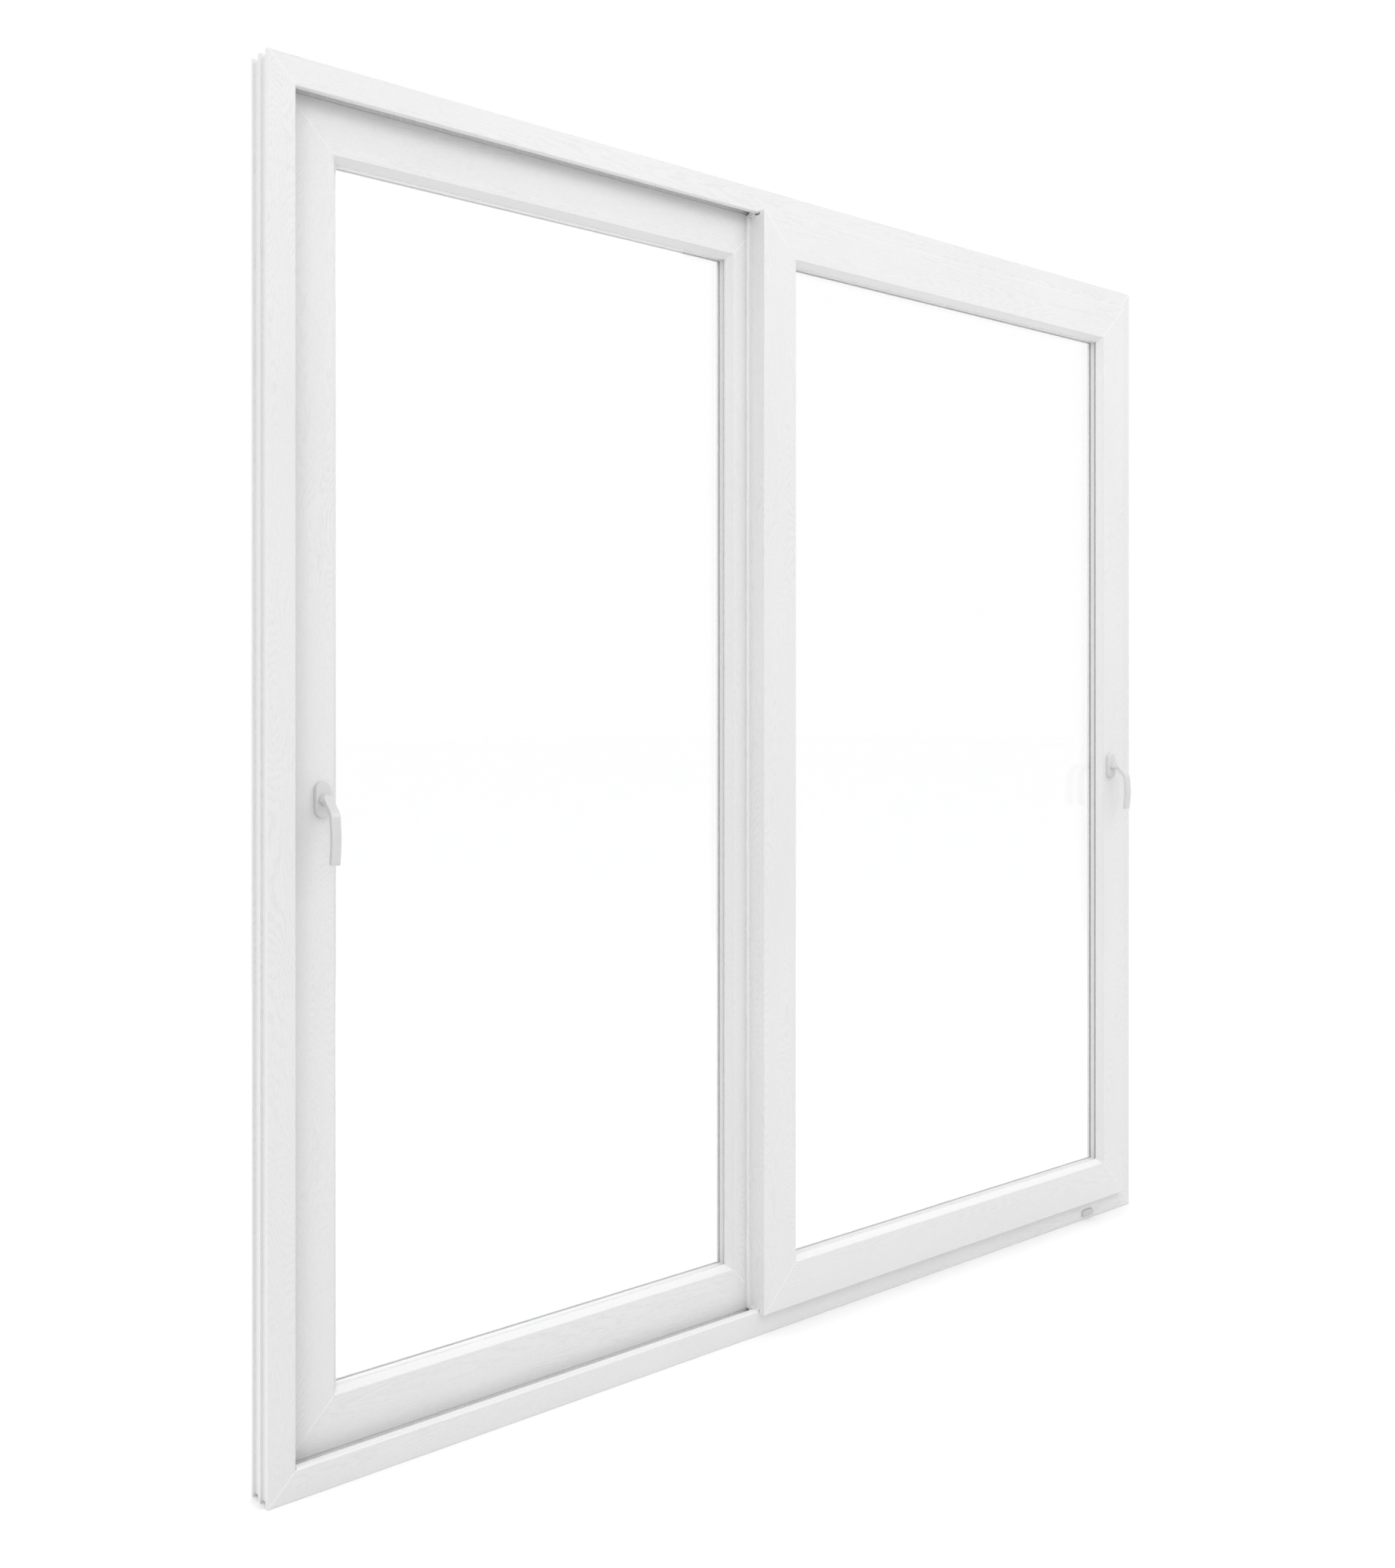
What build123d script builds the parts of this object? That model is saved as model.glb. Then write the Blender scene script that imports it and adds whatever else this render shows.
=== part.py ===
from build123d import *

import os

# Two-track sliding window of full height: a welded frame, two glazed sashes and their handles.
# X runs along the width, +Y points outdoors and the handles are on the -Y side.
# The origin is under the middle of the sill, on the face that stands on the wall opening.
# Millimetres throughout.

# Whole window
window_width = 2400.0
window_height = 2400.0

# Frame profile, the same on all four sides
frame_depth = 65.0
frame_face = 50.0
frame_edge_round = 1.5
rib_thickness = 13.0
rib_round = 2.0
channel_floor = 24.0
centre_rib_width = 8.0
centre_rib_height = 6.0
anchor_groove_width = 20.0
anchor_groove_depth = 5.0
centre_land_width = 9.0

# Metal rails on the two ribs of the sill
rail_height = 4.0
rail_crown_width = 9.0
rail_end_gap = 2.0

# Drain cover on the room side of the sill
drain_cover_width = 46.0
drain_cover_height = 17.0
drain_cover_depth = 6.0
drain_cover_wall = 2.0
drain_cover_from_end = 185.0
drain_cover_centre_height = 18.0

# Sash profile
sash_thickness = 45.0
sash_face = 90.0
sash_overlap = 4.0
sash_edge_round = 2.0
track_clearance = 1.0
lip_thickness = 6.0
lip_chamfer = 3.0
rebate_drop = 6.0
nib_thickness = 4.0

# Glazing
bead_rise = 10.0
bead_toe_setback = 1.0
bead_top_width = 2.0
pane_thickness = 4.0
pane_cover = 15.0
spacer_width = 12.0
spacer_height = 14.0
spacer_edge_gap = 1.0
inner_gasket_thickness = 1.0
outer_gasket_thickness = 3.0
gasket_height = 12.0
gasket_lip = 1.5

# Meeting of the two sashes
meeting_centre = -90.0
meeting_overlap = 49.0
interlock_wall = 1.2
interlock_base_width = 22.0
interlock_clearance = 0.3
hook_engagement = 4.0

# Handles
handle_height = 1160.0
handle_from_edge = 66.0
plate_width = 27.0
plate_height = 62.0
plate_thickness = 11.0
plate_edge_round = 2.0
neck_diameter = 18.0
neck_clearance = 0.05
neck_end_gap = 0.3
neck_edge_round = 2.0
neck_step = 0.6
bore_depth = 8.0
shoulder_start = 27.0
shoulder_drop = 24.0
shoulder_bend = 18.0
lever_standoff = 48.0
lever_thickness = 10.0
lever_bow = 4.0
lever_bow_radius = 150.0
lever_tuck = 1.0
lever_length = 108.0
lever_width = 17.0
lever_edge_round = 3.5
lever_tip_round = 3.0

# Depths that follow from the profiles
front_plane = -frame_depth / 2
rib_middle = frame_depth / 2 - rib_thickness / 2
sash_gap = 2 * rib_middle - sash_thickness
groove_depth = sash_overlap + rail_height
groove_width = rib_thickness + 2 * track_clearance
sash_margin = frame_face - sash_overlap
sash_height = window_height - 2 * sash_margin
sight_line = sash_face + bead_rise
rebate_floor = sash_face - rebate_drop
pane_edge = sight_line - pane_cover
lip_front = sash_thickness - lip_thickness
outer_pane_front = lip_front - outer_gasket_thickness - pane_thickness
inner_pane_front = outer_pane_front - spacer_width - pane_thickness
bead_depth = inner_pane_front - inner_gasket_thickness


def profile(corners):
    """Closed section from (depth, height, rounding) corners."""
    section = make_face(Polyline(*[(y, h) for y, h, _ in corners], close=True))
    for y, h, rounding in corners:
        if rounding:
            corner = section.vertices().sort_by_distance((y, h, 0))[0]
            section = fillet(corner, rounding)
    return section


def mitred_bar(section, length, reach):
    """Bar along X with its section's height along Z and both ends cut at 45 degrees."""
    bar = extrude(Plane.YZ * section, amount=length / 2, both=True)
    ends = Polyline(
        (-length / 2, 0),
        (length / 2, 0),
        (length / 2 - reach, reach),
        (-length / 2 + reach, reach),
        close=True,
    )
    trim = extrude(Plane.XZ * make_face(ends), amount=window_width, both=True)
    return bar & trim


def four_sides(section, width, height, reach, centre, bottom):
    """The bottom, top, left and right bars of a mitred rectangle."""
    across = mitred_bar(section, width, reach)
    upright = mitred_bar(section, height, reach)
    middle = bottom + height / 2
    return {
        "bottom": Pos(centre, 0, bottom) * across,
        "top": Pos(centre, 0, bottom + height) * Rot(0, 180, 0) * across,
        "left": Pos(centre - width / 2, 0, middle) * Rot(0, 90, 0) * upright,
        "right": Pos(centre + width / 2, 0, middle) * Rot(0, -90, 0) * upright,
    }


def upright_ring(width, height, bar_height, thickness):
    """Rectangular ring in the XZ plane, its front face on Y = 0."""
    outline = Rectangle(width, height) - Rectangle(width - 2 * bar_height, height - 2 * bar_height)
    return extrude(Plane.XZ * outline, amount=-thickness)


def frame_section():
    """Frame profile with two ribs inside and two anchor grooves outside."""
    half = frame_depth / 2
    rib_inner = half - rib_thickness
    land = centre_land_width / 2
    groove_far = land + anchor_groove_width
    stem = centre_rib_width / 2
    stem_top = channel_floor + centre_rib_height
    right_side = [
        (land, 0, 0),
        (land, anchor_groove_depth, 0),
        (groove_far, anchor_groove_depth, 0),
        (groove_far, 0, 0),
        (half, 0, frame_edge_round),
        (half, frame_face, rib_round),
        (rib_inner, frame_face, rib_round),
        (rib_inner, channel_floor, 0),
        (stem, channel_floor, 0),
        (stem, stem_top, 0),
    ]
    left_side = [(-y, h, rounding) for y, h, rounding in reversed(right_side)]
    return profile(right_side + left_side)


def sash_section():
    """Sash profile from its room face at Y = 0, with a rebate for the glass."""
    return profile(
        [
            (0, 0, sash_edge_round),
            (sash_thickness, 0, sash_edge_round),
            (sash_thickness, sight_line - lip_chamfer, 0),
            (sash_thickness - lip_chamfer, sight_line, 0),
            (lip_front, sight_line, 0),
            (lip_front, rebate_floor, 0),
            (nib_thickness, rebate_floor, 0),
            (nib_thickness, sash_face, 0),
            (0, sash_face, 0),
        ]
    )


def bead_section():
    """Glazing bead with a long bevel from the sash face up to the glass."""
    return profile(
        [
            (bead_toe_setback, sash_face, 0),
            (nib_thickness, sash_face, 0),
            (nib_thickness, rebate_floor, 0),
            (bead_depth, rebate_floor, 0),
            (bead_depth, sight_line, 0),
            (bead_depth - bead_top_width, sight_line, 0),
            (bead_toe_setback, sash_face + bead_toe_setback, 0),
        ]
    )


def frame_parts():
    """Sill, head and jambs, the rails on the sill and the drain cover."""
    sides = four_sides(frame_section(), window_width, window_height, frame_face, 0, 0)
    parts = {
        "sill": sides["bottom"],
        "head": sides["top"],
        "left_jamb": sides["left"],
        "right_jamb": sides["right"],
    }
    rail_length = window_width - 2 * frame_face - 2 * rail_end_gap
    half_rib = rib_thickness / 2
    crown = rail_crown_width / 2
    rail = profile(
        [
            (-half_rib + rib_round, 0, 0),
            (half_rib - rib_round, 0, 0),
            (crown, rail_height, 0),
            (-crown, rail_height, 0),
        ]
    )
    bar = extrude(Plane.YZ * rail, amount=rail_length / 2, both=True)
    parts["front_track_rail"] = Pos(0, -rib_middle, frame_face) * bar
    parts["rear_track_rail"] = Pos(0, rib_middle, frame_face) * bar
    parts["drain_cover"] = drain_cover()
    return parts


def drain_cover():
    """Hood with a round top, open below, over the drain slot of the sill."""
    outside = SlotOverall(drain_cover_width, drain_cover_height)
    hood = extrude(Plane.XZ * outside, amount=drain_cover_depth)
    front_rim = hood.faces().sort_by(Axis.Y)[0].edges()
    hood = fillet(front_rim, drain_cover_depth / 2)
    mouth = Box(
        drain_cover_width - drain_cover_height,
        drain_cover_depth - drain_cover_wall,
        drain_cover_height / 2,
        align=(Align.CENTER, Align.MAX, Align.MAX),
    )
    place = Pos(
        window_width / 2 - drain_cover_from_end, front_plane, drain_cover_centre_height
    )
    return place * (hood - mouth)


def sash_parts(name, left_edge, right_edge, track, outer_side):
    """One glazed sash between two edges, centred on the rib at depth track."""
    meeting_side = "right" if outer_side == "left" else "left"
    width = right_edge - left_edge
    centre = (left_edge + right_edge) / 2
    room_face = track - sash_thickness / 2
    place = Pos(0, room_face, 0)
    middle = Pos(centre, room_face, window_height / 2)

    grooves = Pos(centre, track, 0) * sash_grooves(width, outer_side)
    members = four_sides(sash_section(), width, sash_height, sight_line, centre, sash_margin)
    beads = four_sides(bead_section(), width, sash_height, sight_line, centre, sash_margin)
    names = {
        "bottom": "bottom_rail",
        "top": "top_rail",
        outer_side: "outer_stile",
        meeting_side: "meeting_stile",
    }
    parts = {}
    for side, member in names.items():
        parts[f"{name}_{member}"] = place * members[side] - grooves
        bead_name = member.replace("rail", "bead").replace("stile", "bead")
        parts[f"{name}_{bead_name}"] = place * beads[side]

    pane_width = width - 2 * pane_edge
    pane_height = sash_height - 2 * pane_edge
    pane = Box(pane_width, pane_thickness, pane_height, align=(Align.CENTER, Align.MIN, Align.CENTER))
    parts[f"{name}_inner_pane"] = middle * Pos(0, inner_pane_front, 0) * pane
    parts[f"{name}_outer_pane"] = middle * Pos(0, outer_pane_front, 0) * pane
    spacer = upright_ring(
        pane_width - 2 * spacer_edge_gap,
        pane_height - 2 * spacer_edge_gap,
        spacer_height,
        spacer_width,
    )
    parts[f"{name}_spacer"] = middle * Pos(0, inner_pane_front + pane_thickness, 0) * spacer
    parts[f"{name}_gaskets"] = middle * gaskets(width)
    return parts


def sash_grooves(width, outer_side):
    """Grooves that straddle the ribs below, above and on the outer side of a sash."""
    along = Box(2 * width, groove_width, 2 * groove_depth)
    bottom = Pos(0, 0, sash_margin) * along
    top = Pos(0, 0, window_height - sash_margin) * along
    side = Box(2 * groove_depth, groove_width, sash_height)
    direction = -1 if outer_side == "left" else 1
    return bottom + top + Pos(direction * width / 2, 0, window_height / 2) * side


def gaskets(width):
    """Room-side and outdoor glazing gaskets, two rings apart."""
    opening_width = width - 2 * sight_line
    opening_height = sash_height - 2 * sight_line
    shut_width = opening_width - 2 * gasket_lip
    shut_height = opening_height - 2 * gasket_lip
    opening = Rectangle(shut_width, shut_height)
    blank = Rectangle(shut_width + 2 * gasket_height, shut_height + 2 * gasket_height)
    ring = Plane.XZ * (blank - opening)
    inner = Pos(0, bead_depth, 0) * extrude(ring, amount=-inner_gasket_thickness)
    outer = Pos(0, outer_pane_front + pane_thickness, 0) * extrude(ring, amount=-outer_gasket_thickness)
    return inner + outer


def interlock(edge, direction, track):
    """Hooked profile on the face of a meeting stile, towards the other sash."""
    reach = meeting_overlap / 2 + hook_engagement
    hook_back = interlock_wall + interlock_clearance
    hook_depth = sash_gap - hook_back
    hook_front = hook_depth - interlock_wall
    section = Polyline(
        (0, 0),
        (interlock_base_width, 0),
        (interlock_base_width, interlock_wall),
        (interlock_wall, interlock_wall),
        (interlock_wall, hook_front),
        (reach, hook_front),
        (reach, hook_depth),
        (0, hook_depth),
        close=True,
    )
    bar = extrude(make_face(section), amount=sash_height)
    turn = Rot(0, 0, 0) if direction > 0 else Rot(0, 0, 180)
    return Pos(edge, track, sash_margin) * turn * bar


def handle_plate():
    """Rounded plate with a blind bore for the lever's neck, its back on Y = 0."""
    outline = SlotOverall(plate_height, plate_width, rotation=90)
    plate = extrude(Plane.XZ * outline, amount=plate_thickness)
    plate = fillet(plate.faces().sort_by(Axis.Y)[0].edges(), plate_edge_round)
    bore = Cylinder(
        neck_diameter / 2 + neck_clearance,
        bore_depth,
        align=(Align.CENTER, Align.CENTER, Align.MIN),
    )
    return plate - Pos(0, -plate_thickness, 0) * Rot(-90, 0, 0) * bore


def handle_lever():
    """Neck, sloping shoulder and bowed grip that hangs down, the plate's back on Y = 0."""
    grip_middle = lever_standoff + lever_thickness / 2
    spine = FilletPolyline(
        (0, -shoulder_start, 0),
        (0, -grip_middle, -shoulder_drop),
        (0, -grip_middle - lever_bow, -(shoulder_drop + lever_length) / 2),
        (0, -grip_middle + lever_tuck, -lever_length),
        radius=[shoulder_bend, lever_bow_radius],
    )
    start = Plane(origin=spine @ 0, x_dir=(1, 0, 0), z_dir=spine % 0)
    bar = sweep(start * RectangleRounded(lever_width, lever_thickness, lever_edge_round), spine)
    bar = fillet(bar.faces().sort_by(Axis.Z)[0].edges(), lever_tip_round)

    neck_back = plate_thickness - bore_depth + neck_end_gap
    neck = Cylinder(
        neck_diameter / 2,
        lever_standoff - neck_back,
        align=(Align.CENTER, Align.CENTER, Align.MIN),
    )
    neck = Pos(0, -neck_back, 0) * Rot(90, 0, 0) * neck
    below_shoulder = Box(
        2 * neck_diameter,
        2 * lever_standoff,
        4 * lever_standoff,
        align=(Align.CENTER, Align.MAX, Align.CENTER),
    )
    neck = neck & start * Pos(0, lever_thickness / 2 - neck_step, 0) * below_shoulder
    slope = neck.faces().sort_by(Axis((0, 0, 0), start.y_dir))[-1]
    neck = fillet(slope.edges(), neck_edge_round)
    return bar + neck


def window_parts():
    """Every piece of the closed window, by name."""
    outer_edge = window_width / 2 - sash_margin
    front_edge = meeting_centre - meeting_overlap / 2
    rear_edge = meeting_centre + meeting_overlap / 2
    parts = frame_parts()
    parts |= sash_parts("left_sash", -outer_edge, rear_edge, rib_middle, "left")
    parts |= sash_parts("right_sash", front_edge, outer_edge, -rib_middle, "right")
    parts["left_interlock"] = interlock(rear_edge, -1, sash_gap / 2)
    parts["right_interlock"] = interlock(front_edge, 1, -sash_gap / 2)
    for side, direction, track in (("left", -1, rib_middle), ("right", 1, -rib_middle)):
        axis = direction * (outer_edge - handle_from_edge)
        place = Pos(axis, track - sash_thickness / 2, handle_height)
        parts[f"{side}_handle_plate"] = place * handle_plate()
        parts[f"{side}_handle_lever"] = place * handle_lever()
    return parts


os.makedirs("parts", exist_ok=True)
for node, shape in window_parts().items():
    export_step(shape, f"parts/{node}.step")
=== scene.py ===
"""Looks of a two-track sliding window in white oak-grain foil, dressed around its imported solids."""

import logging
import math
from collections.abc import Callable, Iterator
from contextlib import contextmanager
from dataclasses import dataclass
from enum import Enum
from typing import Any

import bpy
from mathutils import Matrix, Vector


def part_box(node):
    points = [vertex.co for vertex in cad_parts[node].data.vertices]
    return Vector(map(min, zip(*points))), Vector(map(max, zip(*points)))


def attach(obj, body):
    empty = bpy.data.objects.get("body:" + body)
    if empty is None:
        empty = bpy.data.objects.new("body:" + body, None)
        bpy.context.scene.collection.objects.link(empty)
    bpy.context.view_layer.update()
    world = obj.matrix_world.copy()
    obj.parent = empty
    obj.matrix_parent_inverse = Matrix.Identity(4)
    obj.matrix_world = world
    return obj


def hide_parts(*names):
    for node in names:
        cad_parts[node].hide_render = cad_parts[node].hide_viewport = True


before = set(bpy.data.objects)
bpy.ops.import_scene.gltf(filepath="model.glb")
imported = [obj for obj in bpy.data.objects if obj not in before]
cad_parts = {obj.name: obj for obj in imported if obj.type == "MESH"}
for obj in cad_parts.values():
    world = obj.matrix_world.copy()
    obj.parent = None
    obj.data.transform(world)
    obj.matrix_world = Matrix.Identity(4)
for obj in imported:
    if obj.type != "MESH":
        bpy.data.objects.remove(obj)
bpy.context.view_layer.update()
LOG = logging.getLogger("sliding_window")
MM = 0.001
TOUCH = 0.01 * MM
FACING = 0.9
SQUARE_ON = 0.99
WINDOW = "window"
SMOOTH_ANGLE = math.radians(32)
X_AXIS = Vector((1, 0, 0))
Y_AXIS = Vector((0, 1, 0))
Z_AXIS = Vector((0, 0, 1))

Colour = tuple[float, float, float, float]
Vec = tuple[float, float, float]
Pair = tuple[float, float]
Test = Callable[[Any], bool]
Piece = bpy.types.Object
Material = bpy.types.Material


def grey(level: float) -> Colour:
    """A neutral colour of one linear level."""
    return (level, level, level, 1.0)


def even(count: float) -> Vec:
    """A pattern scale that is the same all ways, in features per metre."""
    return (count, count, count)


class Grain(Enum):
    """Which way the grain or the drawing lines of a profile run."""

    LEVEL = "X"
    UPRIGHT = "Z"

    def stretch(self, along: float, across: float) -> Vec:
        """Pattern scale with few features along the grain and many across it.

        Args:
            along: Features per metre along the grain.
            across: Features per metre across it.

        Returns:
            Features per metre along X, Y and Z.
        """
        return (along, across, across) if self is Grain.LEVEL else (across, across, along)


# Bends of the growth rings per metre along the grain: upright profiles show more arches.
RING_SWEEP = {Grain.LEVEL: 0.4, Grain.UPRIGHT: 1.4}


class Pick(Enum):
    """What a modelling step selects, as the select mode of the mesh."""

    VERTICES = (True, False, False)
    EDGES = (False, True, False)
    FACES = (False, False, True)


class Signal:
    """Output socket of a shader node that takes part in Python arithmetic."""

    def __init__(self, graph: "NodeGraph", socket: bpy.types.NodeSocket) -> None:
        """Wrap one socket of a graph."""
        self.graph = graph
        self.socket = socket

    def maths(self, operation: str, *operands: "Signal | float") -> "Signal":
        """Result of one Math node on values or links, in the order of its sockets."""
        inputs = dict(enumerate(operands))
        return self.graph.node("ShaderNodeMath", {"operation": operation}, inputs)

    def __add__(self, other: "Signal | float") -> "Signal":
        """This plus other."""
        return self.maths("ADD", self, other)

    def __rsub__(self, other: float) -> "Signal":
        """Other less this."""
        return self.maths("SUBTRACT", other, self)

    def __mul__(self, other: "Signal | float") -> "Signal":
        """This times other."""
        return self.maths("MULTIPLY", self, other)

    def __pow__(self, power: float) -> "Signal":
        """This raised to a power."""
        return self.maths("POWER", self, power)

    def __abs__(self) -> "Signal":
        """Size without sign."""
        return self.maths("ABSOLUTE", self)

    __radd__ = __add__
    __rmul__ = __mul__

    def sine(self) -> "Signal":
        """Sine of this angle in radians."""
        return self.maths("SINE", self)

    def larger(self, other: "Signal | float") -> "Signal":
        """The larger of the two."""
        return self.maths("MAXIMUM", self, other)

    def between(self, low: float, high: float) -> "Signal":
        """This with 0 turned into low and 1 into high."""
        return low + (high - low) * self

    def ramp(self, low: float, high: float) -> "Signal":
        """Smooth step from 0 at low to 1 at high."""
        inputs = {"Value": self, "From Min": low, "From Max": high}
        return self.graph.node("ShaderNodeMapRange", {"interpolation_type": "SMOOTHSTEP"}, inputs)


class NodeGraph:
    """Node tree of one material or of the world."""

    def __init__(self, tree: bpy.types.NodeTree) -> None:
        """Take over a tree and empty it."""
        self.tree = tree
        tree.nodes.clear()

    def node(
        self,
        kind: str,
        settings: dict[str, Any] | None = None,
        inputs: dict[str | int, Any] | None = None,
        output: str | int = 0,
    ) -> Signal | None:
        """Add one node.

        Args:
            kind: Node type.
            settings: Node properties, set before the sockets.
            inputs: Values or links of its sockets, by name or index.
            output: Output socket to hand on.

        Returns:
            The output's signal, or None for an output node.
        """
        made = self.tree.nodes.new(kind)
        for name, value in (settings or {}).items():
            setattr(made, name, value)
        for name, value in (inputs or {}).items():
            if isinstance(value, Signal):
                self.tree.links.new(value.socket, made.inputs[name])
            else:
                made.inputs[name].default_value = value
        return Signal(self, made.outputs[output]) if made.outputs else None

    def blend(self, share: Signal, first: "Signal | Colour", second: "Signal | Colour") -> Signal:
        """Mix two colours by a share from 0 to 1."""
        inputs = {0: share, 6: first, 7: second}
        return self.node("ShaderNodeMix", {"data_type": "RGBA"}, inputs, 2)

    def split(self, vector: Signal) -> tuple[Signal, Signal, Signal]:
        """Parts of a vector along X, Y and Z."""
        parts = self.node("ShaderNodeSeparateXYZ", inputs={0: vector})
        return tuple(Signal(self, socket) for socket in parts.socket.node.outputs)

    def place(self) -> Signal:
        """Object coordinates of the surface."""
        return self.node("ShaderNodeTexCoord", output="Object")

    def depthwise(self) -> Signal:
        """How squarely the surface faces into the room or outdoors, from 0 to 1."""
        _, depth, _ = self.split(self.node("ShaderNodeTexCoord", output="Normal"))
        return abs(depth)

    def noise(self, stretch: Vec, detail: float = 2.0, roughness: float = 0.5) -> Signal:
        """Noise on object coordinates.

        Args:
            stretch: Features per metre along X, Y and Z.
            detail: Octaves.
            roughness: Weight of the finer octaves.

        Returns:
            A signal about 0.5.
        """
        vector = self.node("ShaderNodeMapping", inputs={"Vector": self.place(), "Scale": stretch})
        inputs = {"Vector": vector, "Scale": 1.0, "Detail": detail, "Roughness": roughness}
        return self.node("ShaderNodeTexNoise", inputs=inputs)

    def relief(self, height: Signal, depth: float, strength: float) -> Signal:
        """Bumped normal from a height between 0 and 1 and a depth in metres."""
        inputs = {"Strength": strength, "Distance": depth, "Height": height}
        return self.node("ShaderNodeBump", inputs=inputs)

    def principled(self, **inputs: Any) -> Signal:
        """A Principled surface, its sockets given by name with _ for spaces."""
        sockets = {name.replace("_", " "): value for name, value in inputs.items()}
        return self.node("ShaderNodeBsdfPrincipled", inputs=sockets)


class Finish:
    """A procedural finish that becomes one material, between its paint and its shade."""

    name: str
    paint: float
    shade: float
    relief: Pair

    def draw(self, graph: NodeGraph) -> Signal:
        """Draw the surface in a graph and hand it on."""
        raise NotImplementedError

    def coat(self, tone: Signal, roughness: Signal, height: Signal, **more: Any) -> Signal:
        """A surface of this finish.

        Args:
            tone: Share of the shade in the paint.
            roughness: Roughness of the surface.
            height: Height of its relief, from 0 to 1.
            more: Further sockets.

        Returns:
            The surface.
        """
        graph = tone.graph
        colour = graph.blend(tone, grey(self.paint), grey(self.shade))
        normal = graph.relief(height, *self.relief)
        return graph.principled(Base_Color=colour, Roughness=roughness, Normal=normal, **more)

    def build(self) -> Material:
        """Make the material.

        Returns:
            The new material, its patterns on object coordinates.
        """
        material = bpy.data.materials.new(self.name)
        material.use_nodes = True
        graph = NodeGraph(material.node_tree)
        graph.node("ShaderNodeOutputMaterial", inputs={"Surface": self.draw(graph)})
        return material


@dataclass(frozen=True)
class OakFoil(Finish):
    """White foil embossed with oak grain, over bare extruded PVC where the foil ends, that PVC
    painted pale partly as painted light to lift the shade in channels, undersides and sides.

    A pattern is given as features per metre along and across the grain.
    """

    name: str
    grain: Grain
    wrapped: bool = True
    paint: float = 0.81
    shade: float = 0.66
    # Bare PVC tones, paler than the foil: partly the PVC's own colour, partly painted light that
    # lifts the shade in channels, undersides and sides.
    plain_with_painted_light: float = 0.92
    plain_lines_with_painted_light: float = 0.84
    ring_count: float = 108.0
    ring_spread: float = 8.0
    ring_edge: float = 1.8
    ring_weight: float = 0.31
    wobble: Pair = (34.0, 110.0)
    wobble_share: float = 0.016
    flecks: Pair = (70.0, 380.0)
    fleck_range: Pair = (0.34, 0.60)
    fleck_share: Pair = (0.35, 1.0)
    patches: Pair = (3.0, 18.0)
    patch_range: Pair = (0.25, 0.70)
    patch_share: Pair = (0.45, 1.0)
    pores: Pair = (170.0, 640.0)
    pore_range: Pair = (0.46, 0.72)
    pore_share: Pair = (0.5, 1.0)
    pore_weight: float = 0.26
    clouds: float = 2.1
    cloud_range: Pair = (0.3, 0.7)
    cloud_weight: float = 0.10
    lines: Pair = (0.8, 500.0)
    line_weight: float = 0.4
    foil_range: Pair = (0.45, 0.62)
    gloss: Pair = (0.40, 0.56)
    relief: Pair = (0.6 * MM, 0.5)

    def grain_tone(self, graph: NodeGraph) -> Signal:
        """Darkness of the grain.

        Args:
            graph: Graph to draw in.

        Returns:
            Rings broken into flecks and patches, with pores and faint clouds.
        """
        stretch = self.grain.stretch
        sweep = stretch(RING_SWEEP[self.grain], self.ring_spread)
        drift = graph.noise(sweep, detail=1.6, roughness=0.42)
        wobble = graph.noise(stretch(*self.wobble))
        flecks = graph.noise(stretch(*self.flecks), detail=1.0).ramp(*self.fleck_range)
        patches = graph.noise(stretch(*self.patches), detail=1.0).ramp(*self.patch_range)
        pores = graph.noise(stretch(*self.pores), detail=1.0).ramp(*self.pore_range)
        clouds = graph.noise(even(self.clouds)).ramp(*self.cloud_range)
        rings = ((drift + wobble * self.wobble_share) * (self.ring_count * math.tau)).sine()
        rings = (rings * 0.5 + 0.5) ** self.ring_edge * flecks.between(*self.fleck_share)
        drawn = rings * patches.between(*self.patch_share)
        dotted = pores * drawn.between(*self.pore_share)
        return drawn * self.ring_weight + dotted * self.pore_weight + clouds * self.cloud_weight

    def draw(self, graph: NodeGraph) -> Signal:
        """Draw the grain and, on a profile that isn't wrapped all round, the bare sides, painted pale
        partly as painted light to lift their shade.

        Args:
            graph: Graph to draw in.

        Returns:
            Foil whose grain runs along the profile.
        """
        tone = self.grain_tone(graph)
        colour = graph.blend(tone, grey(self.paint), grey(self.shade))
        if not self.wrapped:
            # Faces that don't face into the room or outdoors are bare PVC, painted pale partly as
            # painted light against their shade.
            bare_with_painted_light = 1.0 - graph.depthwise().ramp(*self.foil_range)
            lines = graph.noise(self.grain.stretch(*self.lines), detail=1.0)
            tone = tone * (1.0 - bare_with_painted_light) + lines * bare_with_painted_light * self.line_weight
            extruded_with_painted_light = graph.blend(lines, grey(self.plain_with_painted_light), grey(self.plain_lines_with_painted_light))
            colour = graph.blend(bare_with_painted_light, colour, extruded_with_painted_light)
        return graph.principled(
            Base_Color=colour,
            Roughness=tone.between(*self.gloss),
            Normal=graph.relief(1.0 - tone, *self.relief),
        )


@dataclass(frozen=True)
class WeldFlash(Finish):
    """Trimmed weld seam of bare white PVC."""

    name: str = "weld_flash"
    paint: float = 0.93
    shade: float = 0.86
    ripples: float = 420.0
    gloss: Pair = (0.3, 0.5)
    relief: Pair = (0.3 * MM, 0.4)

    def draw(self, graph: NodeGraph) -> Signal:
        """Draw a fine ripple.

        Args:
            graph: Graph to draw in.

        Returns:
            The seam's surface.
        """
        ripple = graph.noise(even(self.ripples))
        return self.coat(ripple, ripple.between(*self.gloss), ripple)


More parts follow.
